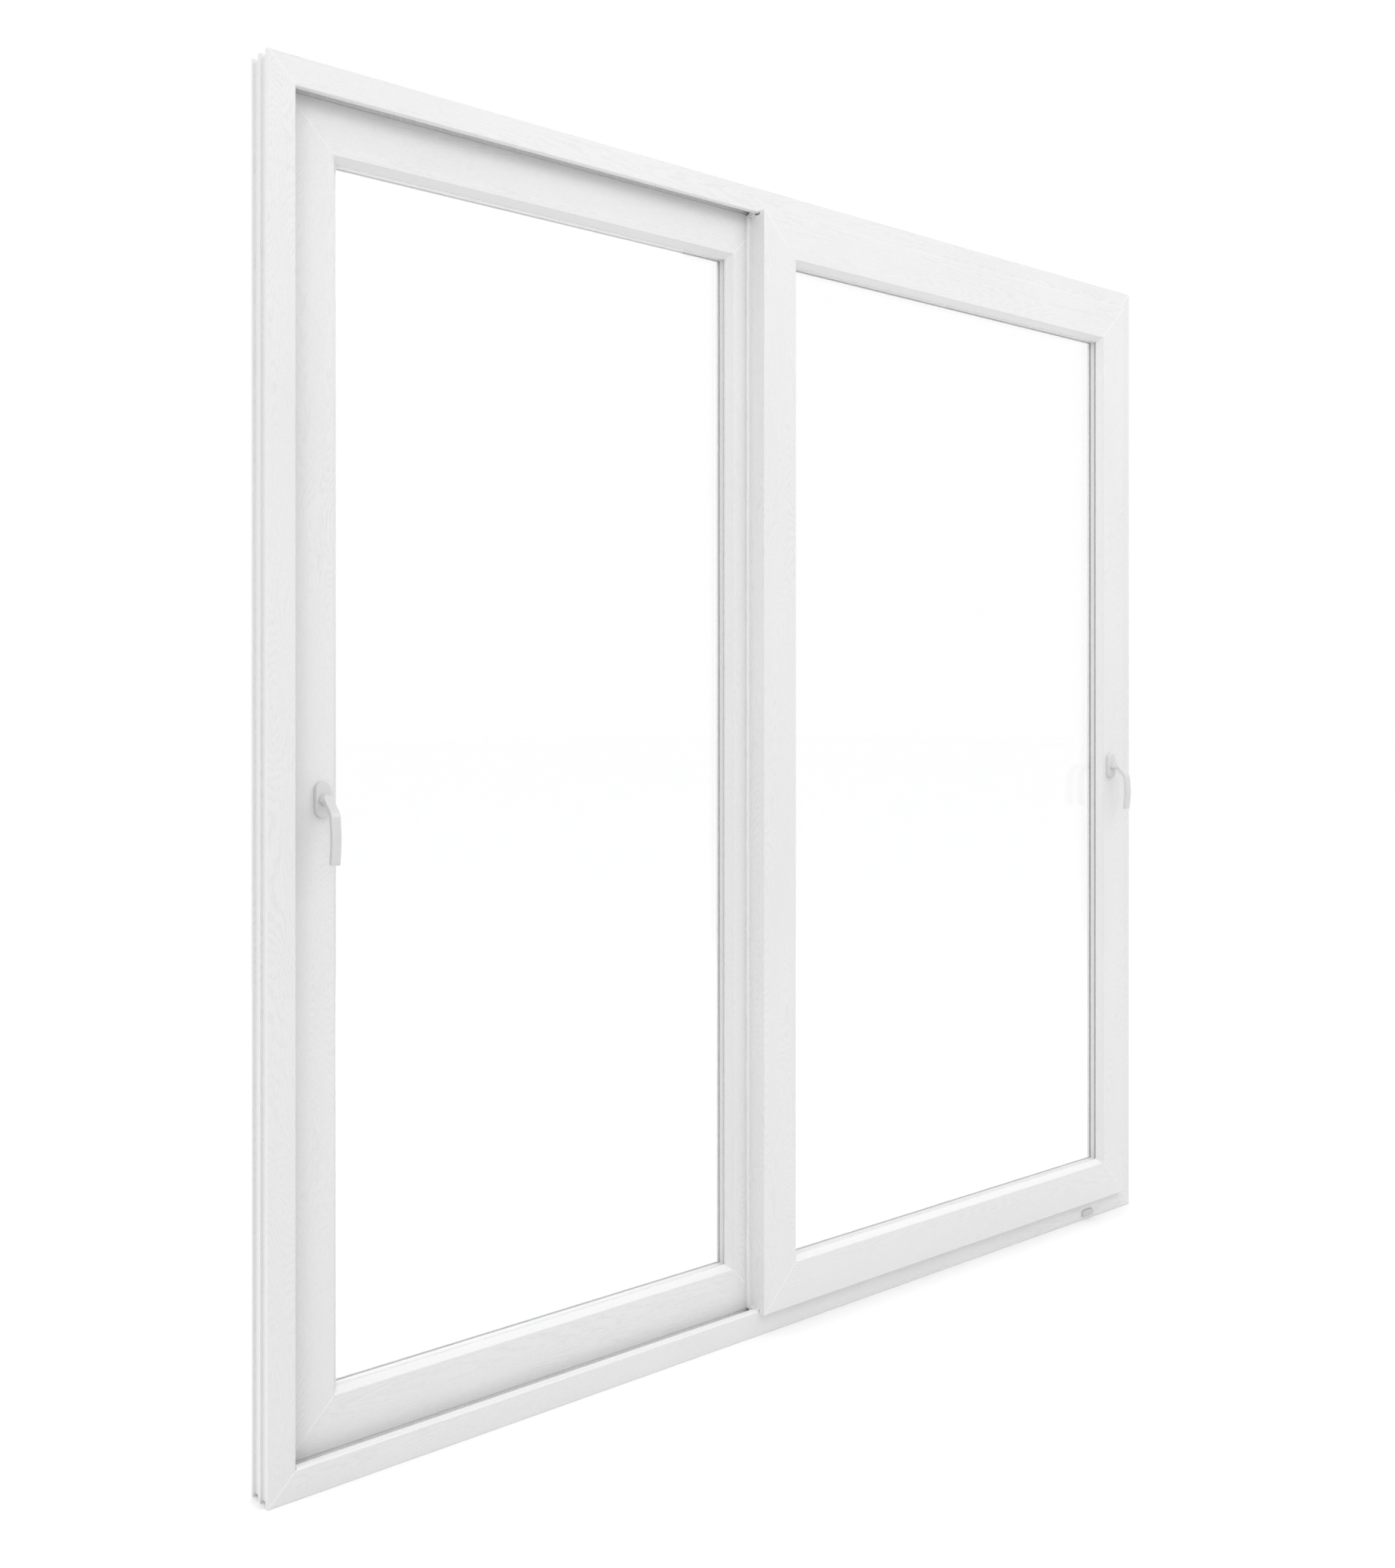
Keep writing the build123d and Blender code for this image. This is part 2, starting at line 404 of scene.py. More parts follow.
@dataclass(frozen=True)
class Lacquer(Finish):
    """White lacquered aluminium with faint drawing lines."""

    name: str
    grain: Grain
    paint: float = 0.90
    shade: float = 0.80
    lines: Pair = (1.2, 700.0)
    line_weight: float = 0.2
    line_haze: float = 0.14
    scuffs: Pair = (14.0, 160.0)
    scuff_range: Pair = (0.62, 0.78)
    scuff_weight: float = 0.7
    scuff_haze: float = 0.16
    polish: float = 0.24
    relief: Pair = (0.2 * MM, 0.25)

    def draw(self, graph: NodeGraph) -> Signal:
        """Draw the lines and a few scuffs along them.

        Args:
            graph: Graph to draw in.

        Returns:
            The lacquer's surface.
        """
        lines = graph.noise(self.grain.stretch(*self.lines))
        scuffs = graph.noise(self.grain.stretch(*self.scuffs), detail=3.0).ramp(*self.scuff_range)
        wear = scuffs * self.scuff_weight + lines * self.line_weight
        haze = self.polish + self.line_haze * lines + self.scuff_haze * scuffs
        return self.coat(wear, haze, lines)


@dataclass(frozen=True)
class PowderCoat(Finish):
    """Satin powder coat with a fine orange-peel skin."""

    name: str = "handle_powder_coat"
    paint: float = 0.67
    shade: float = 0.60
    peel: float = 850.0
    peel_haze: float = 0.10
    touch: float = 28.0
    touch_range: Pair = (0.45, 0.75)
    touch_haze: float = 0.06
    shade_weight: float = 0.3
    polish: float = 0.28
    clear_coat: float = 0.6
    clear_roughness: float = 0.10
    relief: Pair = (0.25 * MM, 0.2)

    def draw(self, graph: NodeGraph) -> Signal:
        """Draw the skin and the places that hands touch.

        Args:
            graph: Graph to draw in.

        Returns:
            The coated surface.
        """
        peel = graph.noise(even(self.peel), detail=1.0)
        touch = graph.noise(even(self.touch), detail=3.0).ramp(*self.touch_range)
        wear = peel * self.shade_weight + touch * self.shade_weight
        haze = self.polish + self.peel_haze * peel + self.touch_haze * touch
        clear = {"Coat_Weight": self.clear_coat, "Coat_Roughness": self.clear_roughness}
        return self.coat(wear, haze, peel, **clear)


@dataclass(frozen=True)
class MouldedPlastic(Finish):
    """Injection-moulded plastic with a fine spark-eroded texture."""

    name: str
    paint: float
    shade: float
    sparks: float = 1400.0
    flow: float = 60.0
    share: float = 0.5
    gloss: Pair = (0.38, 0.54)
    relief: Pair = (0.2 * MM, 0.35)

    def draw(self, graph: NodeGraph) -> Signal:
        """Draw the texture over faint flow marks.

        Args:
            graph: Graph to draw in.

        Returns:
            The moulded surface.
        """
        spark = graph.noise(even(self.sparks), detail=1.0)
        flow = graph.noise(even(self.flow))
        tone = spark * self.share + flow * self.share
        return self.coat(tone, spark.between(*self.gloss), spark)


@dataclass(frozen=True)
class PileBrush(Finish):
    """Light grey pile of a brush seal, its fibres upright."""

    name: str = "pile_brush"
    paint: float = 0.90
    shade: float = 0.78
    fibres: Vec = (1500.0, 1500.0, 60.0)
    fibre_weight: float = 0.6
    tufts: Vec = (160.0, 160.0, 20.0)
    tuft_weight: float = 0.4
    pile_range: Pair = (0.3, 0.7)
    gloss: Pair = (0.8, 0.95)
    relief: Pair = (0.4 * MM, 0.35)

    def draw(self, graph: NodeGraph) -> Signal:
        """Draw fibres in tufts.

        Args:
            graph: Graph to draw in.

        Returns:
            The pile's surface.
        """
        fibres = graph.noise(self.fibres)
        tufts = graph.noise(self.tufts, detail=1.0)
        pile = fibres * self.fibre_weight + tufts * self.tuft_weight
        pile = pile.ramp(*self.pile_range)
        return self.coat(pile, pile.between(*self.gloss), 1.0 - pile)


@dataclass(frozen=True)
class GasketRubber(Finish):
    """Matt grey glazing rubber with a paler bloom."""

    name: str = "gasket_rubber"
    paint: float = 0.82
    shade: float = 0.90
    patches: float = 180.0
    bloom_range: Pair = (0.35, 0.7)
    gloss: Pair = (0.62, 0.82)
    relief: Pair = (0.2 * MM, 0.3)

    def draw(self, graph: NodeGraph) -> Signal:
        """Draw the bloom.

        Args:
            graph: Graph to draw in.

        Returns:
            The rubber's surface.
        """
        patches = graph.noise(even(self.patches), detail=3.0)
        bloom = patches.ramp(*self.bloom_range)
        return self.coat(bloom, patches.between(*self.gloss), patches)


@dataclass(frozen=True)
class SpacerMetal(Finish):
    """Rolled aluminium with holes towards the gas gap, and a sealing compound towards the panes
    painted pale as painted light, to lift the shade in the slots beside the panes.
    """

    name: str = "spacer_metal"
    paint: float = 0.72
    hole: float = 0.56
    # Painted light: the sealing compound is painted pale to lift the shade in the slots beside the
    # panes.
    sealant_with_painted_light: float = 0.95
    pitch: float = 5 * MM
    hole_range: Pair = (0.62, 0.80)
    sealed_with_painted_light_range: Pair = (0.3, 0.6)
    brushing: Vec = (60.0, 900.0, 60.0)
    metallic: float = 0.12
    gloss: Pair = (0.42, 0.54)
    relief: Pair = (0.4 * MM, 0.4)

    def draw(self, graph: NodeGraph) -> Signal:
        """Draw rows of holes on the faces that look into the gas gap.

        Args:
            graph: Graph to draw in.

        Returns:
            The spacer's surface.
        """
        along_x, across, along_z = graph.split(graph.place())
        wave = math.tau / self.pitch
        # Faces towards the panes: no holes there, and a pale colour painted as light to lift the
        # shade in the slots.
        sealed_with_painted_light = graph.depthwise().ramp(*self.sealed_with_painted_light_range)
        rows = ((along_x + along_z) * wave).sine() * (across * wave).sine()
        holes = rows.ramp(*self.hole_range) * (1.0 - sealed_with_painted_light)
        rolled = graph.blend(holes, grey(self.paint), grey(self.hole))
        brushed = graph.noise(self.brushing, detail=1.0)
        return graph.principled(
            Base_Color=graph.blend(sealed_with_painted_light, rolled, grey(self.sealant_with_painted_light)),
            Metallic=self.metallic,
            Roughness=brushed.between(*self.gloss),
            Normal=graph.relief(1.0 - holes, *self.relief),
        )


@dataclass(frozen=True)
class FloatGlass(Finish):
    """Clear float glass that mirrors more at a glancing angle."""

    name: str = "float_glass"
    tint: Colour = (0.998, 0.999, 0.9985, 1.0)
    head_on: float = 0.05
    glancing: float = 0.80
    falloff: float = 5.0
    polish: float = 0.015
    ripples: float = 1.6
    relief: Pair = (0.4 * MM, 0.15)

    def draw(self, graph: NodeGraph) -> Signal:
        """Mix a clear surface with a faintly rippled mirror.

        Args:
            graph: Graph to draw in.

        Returns:
            The glass surface.
        """
        clear = graph.node("ShaderNodeBsdfTransparent", inputs={"Color": self.tint})
        ripple = graph.noise(even(self.ripples), detail=1.0)
        sheen = graph.principled(
            Base_Color=grey(1.0),
            Metallic=1.0,
            Roughness=self.polish,
            Normal=graph.relief(ripple, *self.relief),
        )
        facing = graph.node("ShaderNodeLayerWeight", inputs={"Blend": 0.5}, output="Facing")
        mirror = self.head_on + self.glancing * facing ** self.falloff
        return graph.node("ShaderNodeMixShader", inputs={0: mirror, 1: clear, 2: sheen})


def seen_rays(graph: NodeGraph) -> Signal:
    """Tell what the eye sees from stray light.

    Args:
        graph: Graph to draw in.

    Returns:
        1 for what is seen straight, mirrored or through glass, and 0 for the rest.
    """
    seen = graph.node("ShaderNodeLightPath", output="Is Camera Ray")
    outputs = seen.socket.node.outputs
    for ray in ("Is Glossy Ray", "Is Transmission Ray"):
        seen = seen.larger(Signal(graph, outputs[ray]))
    return seen


@dataclass(frozen=True)
class FloorPaint(Finish):
    """Matt floor, white to the eye and a little darker where its bounce lights the window."""

    name: str = "studio_floor"
    paint: float = 1.0
    bounce: float = 0.74
    roughness: float = 0.9
    specular: float = 0.1

    def draw(self, graph: NodeGraph) -> Signal:
        """Paint the floor.

        Args:
            graph: Graph to draw in.

        Returns:
            The floor's surface.
        """
        return graph.principled(
            Base_Color=graph.blend(seen_rays(graph), grey(self.bounce), grey(self.paint)),
            Roughness=self.roughness,
            Specular_IOR_Level=self.specular,
        )


class Finishes:
    """Every finish of the window, made once."""

    def __init__(self) -> None:
        """Build the materials."""
        quiet = {"ring_weight": 0.18, "pore_weight": 0.22}
        # Painted light and shade: the beads are one foil. The level beads are painted lighter than
        # the foil, where their bevels catch the light, and the upright beads darker, where they are
        # lit less.
        lit_level_bead = {"paint": 0.84, "shade": 0.74, **quiet}
        shaded_upright_bead = {"paint": 0.76, "shade": 0.67, **quiet}
        self.level_foil = OakFoil("oak_foil_level", Grain.LEVEL).build()
        self.upright_foil = OakFoil("oak_foil_upright", Grain.UPRIGHT).build()
        self.level_frame = OakFoil("frame_foil_level", Grain.LEVEL, wrapped=False).build()
        self.upright_frame = OakFoil("frame_foil_upright", Grain.UPRIGHT, wrapped=False).build()
        self.lit_level_bead = OakFoil("bead_foil_level_painted_light", Grain.LEVEL, **lit_level_bead).build()
        self.shaded_upright_bead = OakFoil("bead_foil_upright_painted_shade", Grain.UPRIGHT, **shaded_upright_bead).build()
        self.level_lacquer = Lacquer("rail_lacquer", Grain.LEVEL).build()
        self.upright_lacquer = Lacquer("interlock_lacquer", Grain.UPRIGHT).build()
        self.weld = WeldFlash().build()
        self.handle = PowderCoat().build()
        self.drain = MouldedPlastic("drain_plastic", paint=0.63, shade=0.55).build()
        self.bumper = MouldedPlastic("bumper_plastic", paint=0.88, shade=0.80).build()
        self.glass = FloatGlass().build()
        self.spacer = SpacerMetal().build()
        self.gasket = GasketRubber().build()
        self.brush = PileBrush().build()


def settle() -> None:
    """Leave edit mode and deselect everything."""
    if bpy.context.mode != "OBJECT":
        bpy.ops.object.mode_set(mode="OBJECT")
    bpy.ops.object.select_all(action="DESELECT")


def take(piece: Piece) -> None:
    """Select one piece alone and make it active.

    Args:
        piece: Object to work on.
    """
    settle()
    piece.select_set(True)
    bpy.context.view_layer.objects.active = piece


def apply_place(piece: Piece) -> None:
    """Put a piece's place, turn and size into its mesh."""
    take(piece)
    bpy.ops.object.transform_apply(location=True, rotation=True, scale=True)


def add_block(name: str, centre: Vector, size: Vec) -> Piece:
    """A box to shape.

    Args:
        name: Name of the piece.
        centre: Middle of the box.
        size: Lengths along X, Y and Z.

    Returns:
        The new object, at the origin with its place in its mesh.
    """
    settle()
    bpy.ops.mesh.primitive_cube_add(size=1.0, location=centre)
    block = bpy.context.object
    block.name = name
    block.scale = size
    apply_place(block)
    return block


def add_drum(name: str, centre: Vector, radius: float, depth: float, corners: int) -> Piece:
    """A drum to shape, its axis along Y.

    Args:
        name: Name of the piece.
        centre: Middle of the drum.
        radius: Its radius.
        depth: Its length along Y.
        corners: Corners of its outline.

    Returns:
        The new object, at the origin with its place in its mesh.
    """
    settle()
    bpy.ops.mesh.primitive_cylinder_add(
        vertices=corners,
        radius=radius,
        depth=depth,
        location=centre,
        rotation=(math.pi / 2, math.pi / corners, 0),
    )
    drum = bpy.context.object
    drum.name = name
    apply_place(drum)
    return drum


@contextmanager
def shaping(piece: Piece, pick: Pick, test: Test) -> Iterator[None]:
    """Edit mode on a piece with the elements selected that pass a test.

    Args:
        piece: Object to edit.
        pick: Kind of element.
        test: Says of a vertex, edge or face whether it is selected.

    Yields:
        Nothing, while edit mode is on.
    """
    take(piece)
    mesh = piece.data
    groups = {Pick.VERTICES: mesh.vertices, Pick.EDGES: mesh.edges, Pick.FACES: mesh.polygons}
    for group in groups.values():
        group.foreach_set("select", [False] * len(group))
    for element in groups[pick]:
        element.select = bool(test(element))
    bpy.context.tool_settings.mesh_select_mode = pick.value
    bpy.ops.object.mode_set(mode="EDIT")
    try:
        yield
    finally:
        bpy.ops.object.mode_set(mode="OBJECT")


def anything(_: Any) -> bool:
    """A test that every element passes."""
    return True


def edge_test(piece: Piece, test: Callable[[Vector], bool]) -> Test:
    """A test of edges that passes those whose two ends pass a test of places."""
    corners = piece.data.vertices
    return lambda edge: all(test(corners[index].co) for index in edge.vertices)


def facing_test(direction: Vec) -> Test:
    """A test of faces that passes those that point along a direction."""
    aim = Vector(direction).normalized()
    return lambda face: face.normal.dot(aim) > FACING


def round_off(piece: Piece, pick: Pick, test: Test, radius: float, steps: int) -> None:
    """Round edges, the edges around faces, or the corners of a flat outline.

    Args:
        piece: Object to edit.
        pick: Kind of element.
        test: Says which elements are rounded.
        radius: How far the round reaches.
        steps: Its flat steps.
    """
    affect = "VERTICES" if pick is Pick.VERTICES else "EDGES"
    with shaping(piece, pick, test):
        bpy.ops.mesh.bevel(offset=radius, segments=steps, affect=affect)


def draw_out(shift: Vector) -> None:
    """Extrude the selected faces by a shift."""
    bpy.ops.mesh.extrude_region_move(TRANSFORM_OT_translate={"value": shift})


def unite(piece: Piece, other: Piece, operation: str = "UNION") -> None:
    """Join another solid to a piece, or cut it away, and delete the other solid.

    Args:
        piece: Solid that stays.
        other: Solid that is used up.
        operation: Boolean operation.
    """
    take(piece)
    modifier = piece.modifiers.new("solids", "BOOLEAN")
    modifier.object = other
    modifier.operation = operation
    modifier.solver = "EXACT"
    bpy.ops.object.modifier_apply(modifier=modifier.name)
    bpy.data.objects.remove(other)


def gather(name: str, parts: list[Piece]) -> Piece:
    """Join separate solids into one piece.

    Args:
        name: Name of the piece.
        parts: Its solids.

    Returns:
        The piece.
    """
    take(parts[0])
    for part in parts[1:]:
        part.select_set(True)
    bpy.ops.object.join()
    joined = bpy.context.object
    joined.name = name
    return joined


def copy_of(piece: Piece, name: str, shift: Vector) -> Piece:
    """Copy a piece and move the copy.

    Args:
        piece: Object to copy.
        name: Name of the copy.
        shift: How far the copy moves.

    Returns:
        The copy, with a mesh of its own.
    """
    take(piece)
    bpy.ops.object.duplicate(linked=False)
    copy = bpy.context.object
    copy.name = name
    copy.location = copy.location + shift
    apply_place(copy)
    return copy


def hand_over(piece: Piece, body: str, finish: Material) -> None:
    """Smooth a finished piece, give it its finish and let it ride on a body.

    Args:
        piece: Finished piece.
        body: Body that carries it.
        finish: Its material.
    """
    take(piece)
    bpy.ops.object.shade_smooth_by_angle(angle=SMOOTH_ANGLE)
    piece.data.materials.clear()
    piece.data.materials.append(finish)
    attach(piece, body)
    LOG.info("built %s with %d faces", piece.name, len(piece.data.polygons))


def dress(node: str, finish: Material) -> None:
    """Give a solid that stays its finish.

    Args:
        node: Name of the solid.
        finish: Its material.
    """
    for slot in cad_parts[node].material_slots:
        slot.material = finish
    LOG.info("dressed %s with %s", node, finish.name)


@dataclass(frozen=True)
class Strip:
    """Slim round-backed strip along a line on a surface, sunk as deep as it stands out."""

    width: float
    height: float
    back_share: float = 0.9
    back_steps: int = 3

    def lay(self, start: Vector, end: Vector, outward: Vector) -> Piece:
        """Model the strip.

        Args:
            start: One end of its line.
            end: Its other end.
            outward: Direction away from the surface.

        Returns:
            The strip in its place.
        """
        run = end - start
        strip = add_block("strip", Vector((0, 0, 0)), (run.length, self.width, 2 * self.height))
        top = edge_test(strip, lambda place: place.z > 0)
        round_off(strip, Pick.EDGES, top, self.back_share * self.height, self.back_steps)
        along = run.normalized()
        turn = Matrix((along, outward.cross(along), outward)).transposed().to_4x4()
        strip.matrix_world = Matrix.Translation((start + end) / 2) @ turn
        apply_place(strip)
        return strip


@dataclass
class WeldSeams:
    """Trimmed weld seams along the four mitres of a welded rectangle, on both of its faces."""

    finishes: Finishes
    strip: Strip = Strip(width=1.8 * MM, height=0.35 * MM)
    edge_round: float = 2 * MM

    def build(self, name: str, slot: str, low: Vector, high: Vector, reach: float) -> None:
        """Lay the eight seams.

        Args:
            name: Name of the piece.
            slot: Material slot of the record; not used.
            low: Lowest corner of the rectangle's box.
            high: Its highest corner.
            reach: Distance of a seam's inner end from the outer corner, along X and Z.
        """
        strips = []
        for face, outward in ((low.y, -Y_AXIS), (high.y, Y_AXIS)):
            for x, inward_x in ((low.x, X_AXIS), (high.x, -X_AXIS)):
                for z, inward_z in ((low.z, Z_AXIS), (high.z, -Z_AXIS)):
                    corner = Vector((x, face, z))
                    inward = inward_x + inward_z
                    start = corner + self.edge_round * inward
                    strips.append(self.strip.lay(start, corner + reach * inward, outward))
        hand_over(gather(name, strips), WINDOW, self.finishes.weld)


@dataclass
class OuterFrame:
    """Welded frame with its sill rails, edge beads and drain cover."""

    finishes: Finishes
    bead: Strip = Strip(width=1.7 * MM, height=0.6 * MM)
    bead_setback: float = 3.4 * MM
    flange_depth: float = 1.4 * MM
    foot_round: float = 3.6 * MM
    crown_round: float = 9.5 * MM
    corner_steps: int = 12
    hood_inset: float = 1.6 * MM
    hood_wall: float = 2 * MM
    hood_round: float = 1.8 * MM
    hood_steps: int = 5
    mouth_round: float = 0.5 * MM
    mouth_steps: int = 2

    def build(self) -> None:
        """Dress the solids and build the seams, the edge beads and the drain cover."""
        for node in ("sill", "head"):
            dress(node, self.finishes.level_frame)
        for node in ("left_jamb", "right_jamb"):
            dress(node, self.finishes.upright_frame)
        for node in ("front_track_rail", "rear_track_rail"):
            dress(node, self.finishes.level_lacquer)
        low, sill_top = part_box("sill")
        _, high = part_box("head")
        seams = WeldSeams(self.finishes)
        seams.build("frame_weld_seams", "frame", low, high, sill_top.z - seams.edge_round)
        self.build_edge_beads(low, high)
        self.build_drain_cover()

    def build_edge_beads(self, low: Vector, high: Vector) -> None:
        """Slim beads along the outer sides of jambs and head, where the foil of each face ends.

        Args:
            low: Lowest corner of the frame's box.
            high: Its highest corner.
        """
        left_foot, right_foot = Vector((low.x, 0, low.z)), Vector((high.x, 0, low.z))
        left_top, right_top = Vector((low.x, 0, high.z)), Vector((high.x, 0, high.z))
        strips = []
        for start, end, outward in (
            (left_foot, left_top, -X_AXIS),
            (right_foot, right_top, X_AXIS),
            (left_top, right_top, Z_AXIS),
        ):
            for y in (low.y + self.bead_setback, high.y - self.bead_setback):
                strips.append(self.bead.lay(start + y * Y_AXIS, end + y * Y_AXIS, outward))
        hand_over(gather("frame_edge_beads", strips), WINDOW, self.finishes.weld)

    def build_drain_cover(self) -> None:
        """Hooded drain cover: a flange, a hood with a round crown and a mouth that opens below."""
        low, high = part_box("drain_cover")
        middle = (low + high) / 2
        size = high - low
        seat = Vector((middle.x, high.y - self.flange_depth / 2, middle.z))
        cover = add_block("drain_hood", seat, (size.x, self.flange_depth, size.z))
        for level, radius in ((-1, self.foot_round), (1, self.crown_round)):
            for side in (-1, 1):
                corner = edge_test(
                    cover, lambda p: side * (p - middle).x > 0 and level * (p - middle).z > 0
                )
                round_off(cover, Pick.EDGES, corner, radius, self.corner_steps)
        rise = size.y - self.flange_depth
        with shaping(cover, Pick.FACES, facing_test((0, -1, 0))):
            bpy.ops.mesh.inset(thickness=self.hood_inset)
            draw_out(-rise * Y_AXIS)
        brow = edge_test(cover, lambda place: place.y < low.y + TOUCH)
        round_off(cover, Pick.EDGES, brow, self.hood_round, self.hood_steps)
        depth = rise - self.hood_wall
        mouth_place = Vector((middle.x, low.y + self.hood_wall + depth / 2, low.z + size.z / 4))
        mouth = add_block("drain_mouth", mouth_place, (size.x - size.z, depth, size.z / 2))
        round_off(mouth, Pick.EDGES, anything, self.mouth_round, self.mouth_steps)
        unite(cover, mouth, "DIFFERENCE")
        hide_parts("drain_cover")
        hand_over(cover, WINDOW, self.finishes.drain)


@dataclass
class GlazedSash:
    """One sash: mitred members, beads, glass unit, seals and weld seams."""

    finishes: Finishes
    name: str
    seam_overrun: float = 5 * MM

    def part(self, member: str) -> str:
        """Node name of a member."""
        return f"{self.name}_{member}"

    def build(self) -> None:
        """Dress the solids and build the weld seams, which end just past the foot of the beads."""
        finishes = self.finishes
        # The level beads take the bead foil painted lighter and the upright beads the one painted
        # darker, as painted light and shade.
        for member, places, foil, bead in (
            ("rail", ("bottom", "top"), finishes.level_foil, finishes.lit_level_bead),
            ("stile", ("outer", "meeting"), finishes.upright_foil, finishes.shaded_upright_bead),
        ):
            for place in places:
                dress(self.part(f"{place}_{member}"), foil)
                dress(self.part(f"{place}_bead"), bead)
        for pane in ("inner_pane", "outer_pane"):
            dress(self.part(pane), finishes.glass)
        dress(self.part("spacer"), finishes.spacer)
        dress(self.part("gaskets"), finishes.gasket)
        low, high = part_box(self.part("bottom_rail"))
        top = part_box(self.part("top_rail"))[1]
        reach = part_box(self.part("bottom_bead"))[0].z - low.z + self.seam_overrun
        far = Vector((high.x, high.y, top.z))
        WeldSeams(finishes).build(self.part("weld_seams"), "sash", low, far, reach)


@dataclass(frozen=True)
class StileEdge:
    """Free back edge of a meeting stile, which the other sash slides past.

    Its side and face are signs: the way out of the stile along X and along Y.
    """

    sash: str
    side: int
    face: int

    def ends(self) -> tuple[Vector, Vector]:
        """Find the edge.

        Returns:
            Its foot and its top.
        """
        low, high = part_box(f"{self.sash}_meeting_stile")
        x = low.x if self.side < 0 else high.x
        y = low.y if self.face < 0 else high.y
        return Vector((x, y, low.z)), Vector((x, y, high.z))

    def step(self, out: float, back: float, up: float = 0.0) -> Vector:
        """A step out of the stile along X, back along Y and up."""
        return Vector((self.side * out, self.face * back, up))


@dataclass
class MeetingStiles:
    """Interlocks, fins, piles and bumpers where the sashes meet, and the rear sash's brushes."""

    finishes: Finishes
    end_clearance: float = 8 * MM
    fin_reach: float = 6 * MM
    fin_depth: float = 2 * MM
    fin_taper: float = 0.55
    lip_width: float = 1.6 * MM
    lip_depth: float = 3 * MM
    lip_round: float = 0.5 * MM
    lip_steps: int = 4
    pile_offset: float = 3.4 * MM
    pile_width: float = 4.2 * MM
    pile_slack: float = 0.3 * MM
    pile_spread: float = 1.3
    bumper_size: Vec = (6.5 * MM, 14 * MM, 9 * MM)
    bumper_gap: float = 1 * MM
    bumper_rim: float = 2.2 * MM
    bumper_recess: float = 1.2 * MM
    bumper_round: float = 0.7 * MM
    brush_depth: float = 5 * MM
    brush_height: float = 18 * MM
    brush_setback: float = 2.5 * MM
    brush_spread: float = 1.35
    brush_round: float = 0.8 * MM
    soft_steps: int = 3

    def build(self) -> None:
        """Dress the interlocks and build the small pieces beside them."""
        for side in ("left", "right"):
            dress(f"{side}_interlock", self.finishes.upright_lacquer)
        edges = (StileEdge("right_sash", -1, 1), StileEdge("left_sash", 1, -1))
        for edge in edges:
            self.build_fin(edge)
        for edge in edges:
            self.build_bumpers(edge)
        self.build_brushes()

    def build_fin(self, edge: StileEdge) -> None:
        """Sealing fin with its lip, and the pile that it presses on the other sash.

        Args:
            edge: Edge of the stile that carries them.
        """
        foot, top = edge.ends()
        length = (top - foot).z - self.end_clearance
        middle = (foot + top) / 2 + edge.step(self.fin_reach / 2, -self.fin_depth / 2)
        fin = add_block(f"{edge.sash}_fin", middle, (self.fin_reach, self.fin_depth, length))
        with shaping(fin, Pick.FACES, facing_test((edge.side, 0, 0))):
            bpy.ops.transform.resize(value=(1, self.fin_taper, 1), center_override=middle)
        hand_over(fin, WINDOW, self.finishes.upright_foil)
        tip = middle + edge.step((self.fin_reach + self.lip_width) / 2, 0)
        lip = add_block(f"{edge.sash}_fin_lip", tip, (self.lip_width, self.lip_depth, length))
        round_off(lip, Pick.EDGES, anything, self.lip_round, self.lip_steps)
        hand_over(lip, WINDOW, self.finishes.weld)
        gap = 2 * abs(foot.y) - self.pile_slack
        root = (foot + top) / 2 + edge.step(self.pile_offset, gap / 2)
        pile = add_block(f"{edge.sash}_pile", root, (self.pile_width, gap, length))
        with shaping(pile, Pick.FACES, facing_test((0, edge.face, 0))):
            bpy.ops.transform.resize(value=(self.pile_spread, 1, 1), center_override=root)
        hand_over(pile, WINDOW, self.finishes.brush)

    def build_bumpers(self, edge: StileEdge) -> None:
        """Moulded bumpers at the foot and the top of a stile's free side.

        Args:
            edge: Edge of the stile that carries them.
        """
        foot, top = edge.ends()
        wide, deep, tall = self.bumper_size
        inwards = self.fin_depth + self.bumper_gap + deep / 2
        middle = foot + edge.step(wide / 2, -inwards, tall / 2)
        bumper = add_block(f"{edge.sash}_bumper_foot", middle, self.bumper_size)
        with shaping(bumper, Pick.FACES, facing_test((edge.side, 0, 0))):
            bpy.ops.mesh.inset(thickness=self.bumper_rim)
            draw_out(edge.step(-self.bumper_recess, 0))
        brow = wide / 2 - TOUCH
        rim = edge_test(bumper, lambda place: (place.x - middle.x) * edge.side > brow)
        round_off(bumper, Pick.EDGES, rim, self.bumper_round, self.soft_steps)
        rise = Vector((0, 0, (top - foot).z - tall))
        for piece in (bumper, copy_of(bumper, f"{edge.sash}_bumper_top", rise)):
            hand_over(piece, WINDOW, self.finishes.bumper)

    def build_brushes(self) -> None:
        """Brush seals between the rear sash and its track, under the sash and over it."""
        low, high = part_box("left_sash_bottom_rail")
        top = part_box("left_sash_top_rail")[1].z
        setback = self.brush_setback + self.brush_depth / 2
        middle = Vector(((low.x + high.x) / 2, low.y + setback, low.z - self.brush_height / 2))
        size = (high.x - low.x - self.end_clearance, self.brush_depth, self.brush_height)
        brush = add_block("left_sash_brush_foot", middle, size)
        with shaping(brush, Pick.FACES, facing_test((0, 0, -1))):
            bpy.ops.transform.resize(value=(1, self.brush_spread, 1), center_override=middle)
        tips = edge_test(brush, lambda place: place.z < middle.z)
        round_off(brush, Pick.EDGES, tips, self.brush_round, self.soft_steps)
        rise = Vector((0, 0, top - low.z + self.brush_height))
        for piece in (brush, copy_of(brush, "left_sash_brush_top", rise)):
            hand_over(piece, WINDOW, self.finishes.brush)


